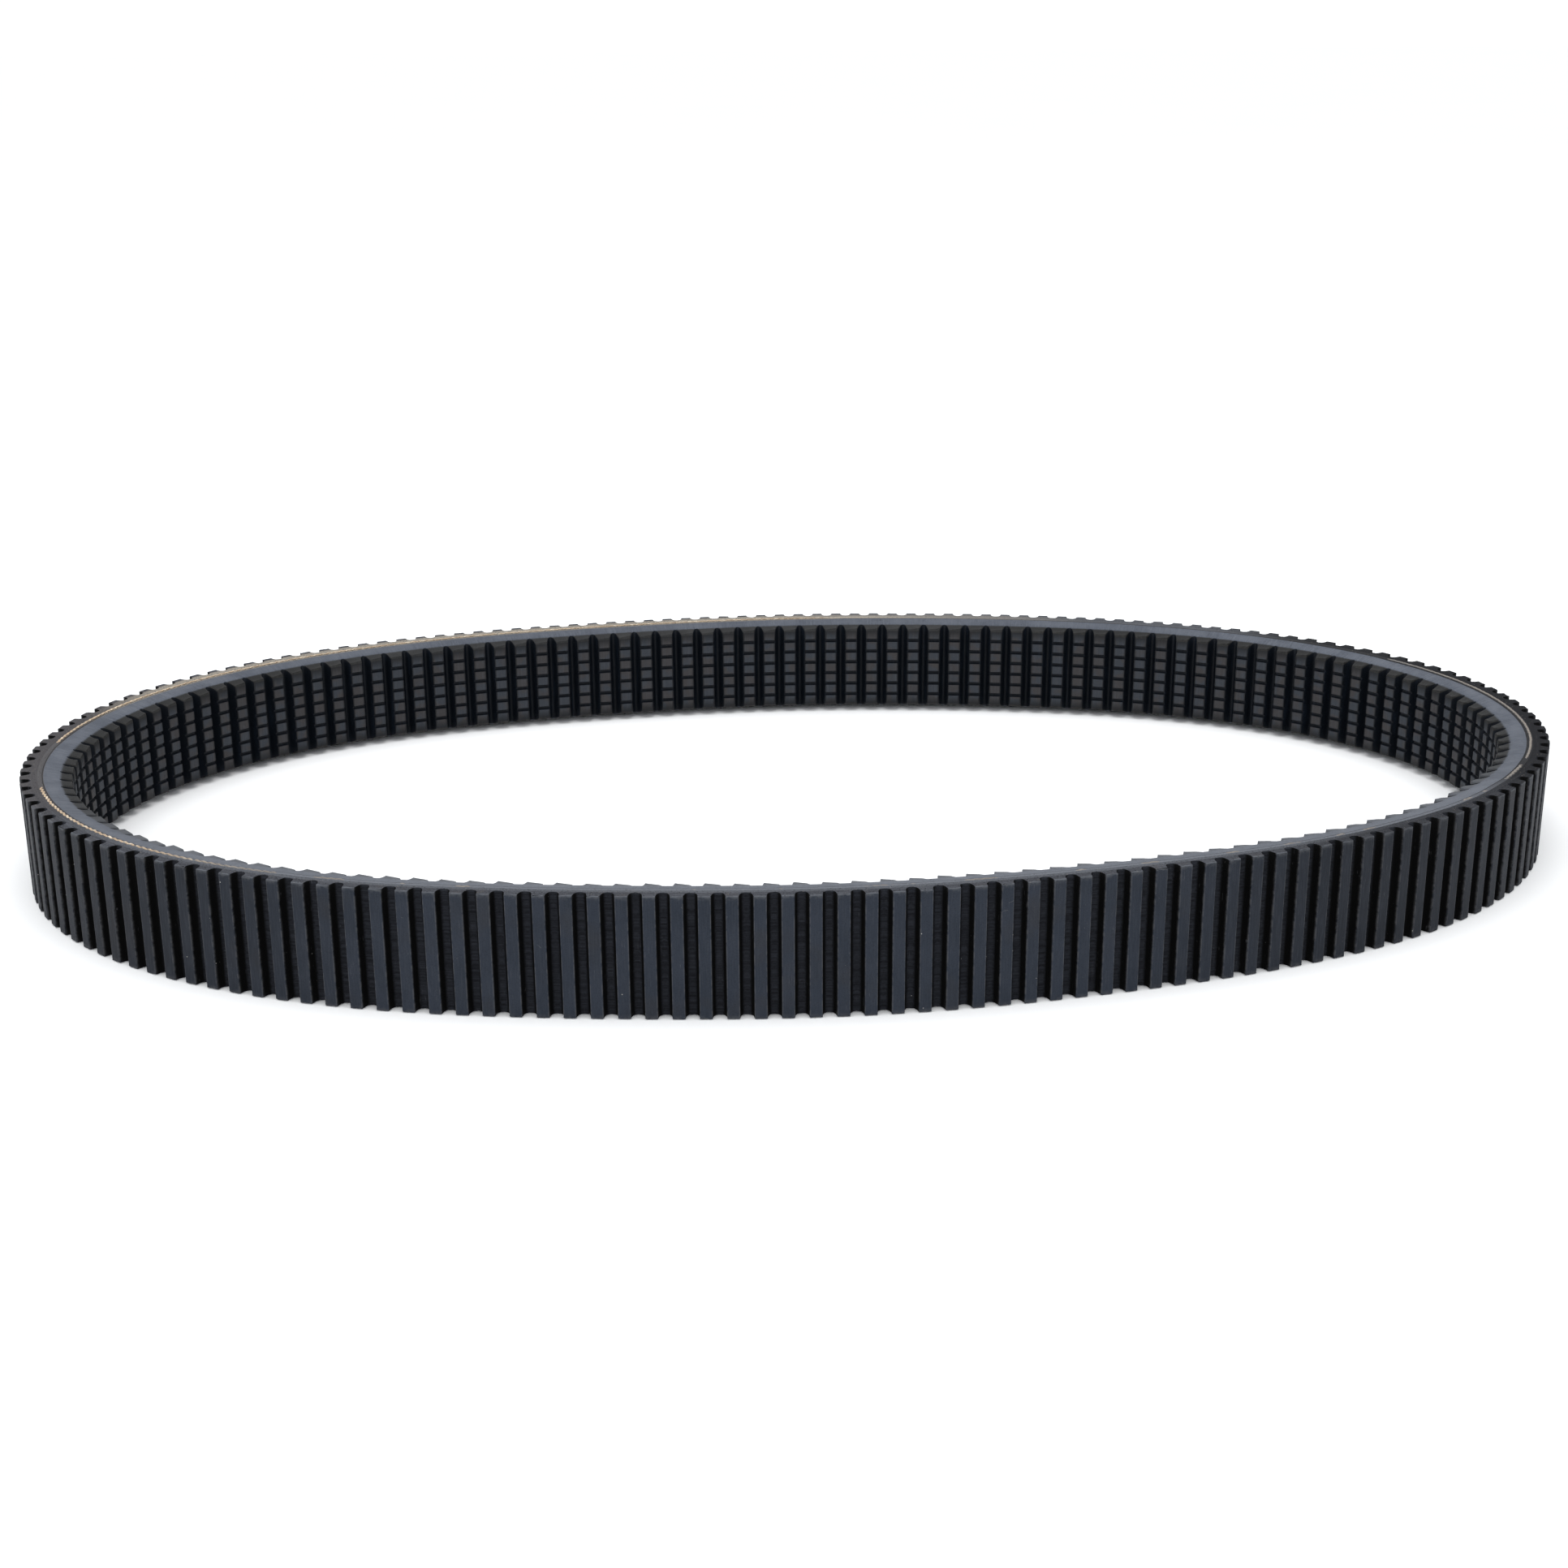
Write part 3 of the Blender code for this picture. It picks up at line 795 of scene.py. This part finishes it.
def compression_material():
    m = Material("compression_rubber", 0.18)
    ring, across = m.stored("ring"), m.stored("across_streak")
    level = m.stored("level")
    depth = m.part(level, 0)
    wear_and_shading = m.stored("wear_and_shading", "Fac")
    cloud = m.noise(ring, 0.009, 4.0)
    grain = m.noise(ring, 0.00035, 3.0, 0.65)
    grind = m.noise(across, 0.00042, 4.0, 0.7)
    root = COG_ROOT_DEPTH * MM
    band = m.mix(m.span(cloud, 0.3, 0.7), BAND_DARK, BAND_LIGHT)
    band = m.mix(m.span(grind, 0.48, 0.72, 0.0, 0.85), band, BAND_SCRATCH)
    band = m.mix(m.span(grind, 0.46, 0.28, 0.0, 0.6), band, GRIND_DARK)
    band = m.mix(m.span(grain, 0.56, 0.36, 0.0, 0.45), band, GRAIN_DARK)
    centre_sheen = m.times(m.span(depth, 6.6, 7.8), m.span(depth, root, root - 1.6))
    band = m.mix(m.times(centre_sheen, m.span(cloud, 0.35, 0.65), 0.35), band, BAND_SHEEN)
    # Painted light along the front of the flank band, painted shade along its back
    band = m.mix(m.times(m.stretch(0.60, 0.94, 0.03), m.span(grain, 0.3, 0.6), 0.5), band, BAND_FRONT_LIGHT)
    band = m.mix(m.times(m.stretch(0.12, 0.44, 0.03), 0.3), band, BAND_BACK_SHADE)
    dent = m.specks(ring, 0.0045, 0.16, 0.04, 0.13)
    band = m.mix(m.times(dent, 0.5), band, DENT_DARK)
    crack = m.times(m.hairs(across, 0.0011, 0.012, 0.34), m.stretch(-0.03, 0.06), m.span(depth, 6.9, 7.6))
    band = m.mix(m.times(crack, 0.8), band, PIT_BLACK)
    cog_end = m.mix(m.span(grain, 0.3, 0.7), COG_END_DARK, COG_END_LIGHT)
    cog_end = m.mix(m.span(cloud, 0.42, 0.66, 0.0, 0.6), cog_end, COG_END_TAN)
    rim = m.times(wear_and_shading, m.span(m.noise(ring, 0.0012, 3.0, 0.7), 0.35, 0.60))
    ends = m.math("MAXIMUM", m.stretch(0.40, 0.60), m.stretch(-0.12, 0.19))
    cog_end = m.mix(m.times(rim, ends, m.span(depth, root + 1.2, root + 2.8), 0.5), cog_end, COG_RIM)
    # Painted shade: the cog ends darker at both ends of the loop
    cog_end = m.mix(m.times(ends, 0.65), cog_end, COG_END_SHADE)
    # Painted light: the cog ends lighter along the front of the loop
    front = m.times(m.stretch(0.58, 0.95, 0.03), m.span(grain, 0.25, 0.6, 0.7, 1.0))
    cog_end = m.mix(front, cog_end, COG_END_FRONT_LIGHT)
    edge = m.mix(m.span(depth, root - 0.1, root + 0.8), band, cog_end)
    blotch = m.noise(ring, 0.0065, 2.0)
    block = m.mix(m.span(blotch, 0.42, 0.58), BLOCK_BLUE, BLOCK_BROWN)
    block = m.mix(m.span(m.noise(across, 0.0005, 3.0), 0.45, 0.75, 0.0, 0.6), block, BLOCK_STREAK)
    # Painted shade round the edges of each cog face
    block = m.mix(m.times(m.span(wear_and_shading, 0.1, 1.0, smooth=False), 0.85), block, BLOCK_EDGE_SHADE)
    # Painted shade: near black below the cog tips, in the notches
    lower = m.span(depth, BELT_DEPTH * MM - 0.04, BELT_DEPTH * MM - 0.30)
    notch = m.mix(m.span(m.noise(across, 0.0008, 3.0), 0.5, 0.75), NOTCH_SHADE, NOTCH_SHADE_STREAK)
    face = m.mix(lower, block, notch)
    inside = m.times(m.span(m.part(level, 2), 0.12, 0.26), m.span(depth, root - 1.0, root - 0.4))
    colour = m.mix(inside, edge, face)
    fluff = m.specks(ring, 0.0016, 0.05, 0.02, 0.07)
    colour = m.mix(m.times(fluff, 0.4), colour, COG_FLUFF)
    rough = m.math("ADD", m.span(grain, 0.3, 0.7, 0.44, 0.58), m.times(inside, 0.08))
    normal = m.bump(grind, 0.00004, 0.6)
    normal = m.bump(grain, 0.00004, 0.6, normal)
    return m.finish(colour, rough, normal)


def cord_material():
    m = Material("cord", 0.3)
    along, ring = m.stored("along_streak"), m.stored("ring")
    crown = m.stored("wear_and_shading", "Fac")
    fibre = m.noise(along, 0.00014, 3.0, 0.7)
    patch = m.noise(ring, 0.0018, 3.0, 0.6)
    colour = m.mix(m.span(fibre, 0.3, 0.7), CORD_BROWN, CORD_TAN)
    colour = m.mix(m.span(patch, 0.48, 0.66, 0.0, 0.7), colour, CORD_PALE)
    # Painted shade in the creases where the cord plies sink
    colour = m.mix(m.span(crown, 0.62, 0.20), colour, CORD_CREASE_SHADE)
    smear = m.noise(ring, 0.0010, 3.0)
    colour = m.mix(m.span(smear, 0.60, 0.72, 0.0, 0.6), colour, CORD_SMEAR)
    dull = m.math("MAXIMUM", m.stretch(0.615, 0.96), m.stretch(0.06, 0.24))
    colour = m.mix(m.times(dull, 0.85), colour, CORD_DULL)
    colour = m.mix(m.times(m.stretch(-0.05, 0.09), 0.8), colour, CORD_DULL)
    return m.finish(colour, m.span(fibre, 0.3, 0.7, 0.55, 0.8), m.bump(fibre, 0.00008, 0.8))


def hidden_cord_material():
    m = Material("wound_cord", 0.3)
    place = m.node("ShaderNodeTexCoord").outputs["Object"]
    fibre = m.noise(place, 0.0004, 3.0, 0.7)
    colour = m.mix(m.span(fibre, 0.3, 0.7), CORD_BROWN, CORD_TAN)
    return m.finish(colour, m.span(fibre, 0.3, 0.7, 0.6, 0.8), m.bump(fibre, 0.0001, 0.8))


def floor_material():
    m = Material("floor", 0.1)
    place = m.node("ShaderNodeTexCoord").outputs["Object"]
    tone = m.noise(place, 0.4, 2.0)
    colour = m.mix(tone, FLOOR_DARK, FLOOR_LIGHT)
    return m.finish(colour, m.span(tone, 0.0, 1.0, 0.7, 0.8), m.bump(tone, 0.0001, 0.1))


# ---------------------------------------------------------------- stage

def floor():
    mesh = bpy.data.meshes.new("floor")
    signs = ((-1, -1), (1, -1), (1, 1), (-1, 1))
    corners = [(x * FLOOR_SIZE, y * FLOOR_SIZE, FLOOR_LEVEL) for x, y in signs]
    mesh.from_pydata(corners, [], [(0, 1, 2, 3)])
    mesh.materials.append(floor_material())
    plane = bpy.data.objects.new("floor", mesh)
    bpy.context.collection.objects.link(plane)


def area_light(name, place, size, power):
    data = bpy.data.lights.new(name, "AREA")
    data.shape = "RECTANGLE"
    data.size, data.size_y = size
    data.energy = power
    lamp = bpy.data.objects.new(name, data)
    lamp.location = place
    lamp.rotation_euler = (-Vector(place)).to_track_quat("-Z", "Y").to_euler()
    bpy.context.collection.objects.link(lamp)


def lights():
    """A white sky and one soft lamp overhead.

    The sky lights the belt more from the front and the left, but the camera sees it evenly white.
    """
    world = bpy.data.worlds.new("studio")
    world.use_nodes = True
    tree = world.node_tree
    background = tree.nodes["Background"]
    background.inputs["Color"].default_value = (*SKY_COLOUR, 1.0)
    tilt = tree.nodes.new("ShaderNodeVectorMath")
    tilt.operation = "DOT_PRODUCT"
    tilt.inputs[1].default_value = SKY_TILT
    tree.links.new(tree.nodes.new("ShaderNodeTexCoord").outputs["Generated"], tilt.inputs[0])
    seen = tree.nodes.new("ShaderNodeMix")
    tree.links.new(tree.nodes.new("ShaderNodeLightPath").outputs["Is Camera Ray"], seen.inputs["Factor"])
    tree.links.new(tilt.outputs["Value"], seen.inputs["A"])
    seen.inputs["B"].default_value = 0.0
    strength = tree.nodes.new("ShaderNodeMath")
    strength.operation = "MULTIPLY_ADD"
    tree.links.new(seen.outputs["Result"], strength.inputs[0])
    strength.inputs[1].default_value = WORLD_STRENGTH
    strength.inputs[2].default_value = WORLD_STRENGTH
    tree.links.new(strength.outputs["Value"], background.inputs["Strength"])
    bpy.context.scene.world = world
    area_light("overhead", OVERHEAD_PLACE, OVERHEAD_SIZE, OVERHEAD_POWER)


def camera():
    data = bpy.data.cameras.new("camera")
    data.lens = LENS_MM
    data.sensor_width = SENSOR_MM
    data.clip_start = 0.01
    holder = bpy.data.objects.new("camera", data)
    right = Vector((1.0, 0.0, 0.0))
    forward = Vector((0.0, math.cos(CAMERA_PITCH), -math.sin(CAMERA_PITCH)))
    up = Vector((0.0, math.sin(CAMERA_PITCH), math.cos(CAMERA_PITCH)))
    rolled_right = math.cos(CAMERA_ROLL) * right + math.sin(CAMERA_ROLL) * up
    rolled_up = -math.sin(CAMERA_ROLL) * right + math.cos(CAMERA_ROLL) * up
    place = Vector((CAMERA_X * BELT_WIDTH - LOOP.centre[0], -CAMERA_BACK * BELT_WIDTH - LOOP.centre[1],
                    CAMERA_UP * BELT_WIDTH))
    turn = Matrix((rolled_right, rolled_up, -forward)).transposed()
    holder.matrix_world = Matrix.Translation(place) @ turn.to_4x4()
    bpy.context.collection.objects.link(holder)
    bpy.context.scene.camera = holder


# ---------------------------------------------------------------- the belt

def belt():
    back = back_rubber([back_rubber_material()])
    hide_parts("back_rubber_with_ribs")
    upper = gum_ring("upper_gum", BACK_RUBBER_BASE, CORD_SPLIT_DEPTH, CAVITY_OUTER,
                     [gum_material("upper_cushion_gum", *UPPER_LINE)])
    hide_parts("upper_cushion_gum")
    lower = gum_ring("lower_gum", CORD_SPLIT_DEPTH, LOWER_GUM_BASE, CAVITY_INNER,
                     [gum_material("lower_cushion_gum", *LOWER_LINE)])
    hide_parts("lower_cushion_gum")
    compression = compression_rubber([compression_material()])
    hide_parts("compression_rubber_with_cogs")
    cord = [cord_material()]
    bare_upper = exposed_cord("bare_cord_upper", BARE_UPPER, True, cord)
    bare_lower = exposed_cord("bare_cord_lower", BARE_LOWER, False, cord)
    for piece in (back, upper, lower, compression, bare_upper, bare_lower):
        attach(piece, "root")
    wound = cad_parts["tensile_cord"]
    wound.data.materials.clear()
    wound.data.materials.append(hidden_cord_material())


belt()
floor()
lights()
camera()
bpy.context.scene.view_settings.view_transform = "Standard"
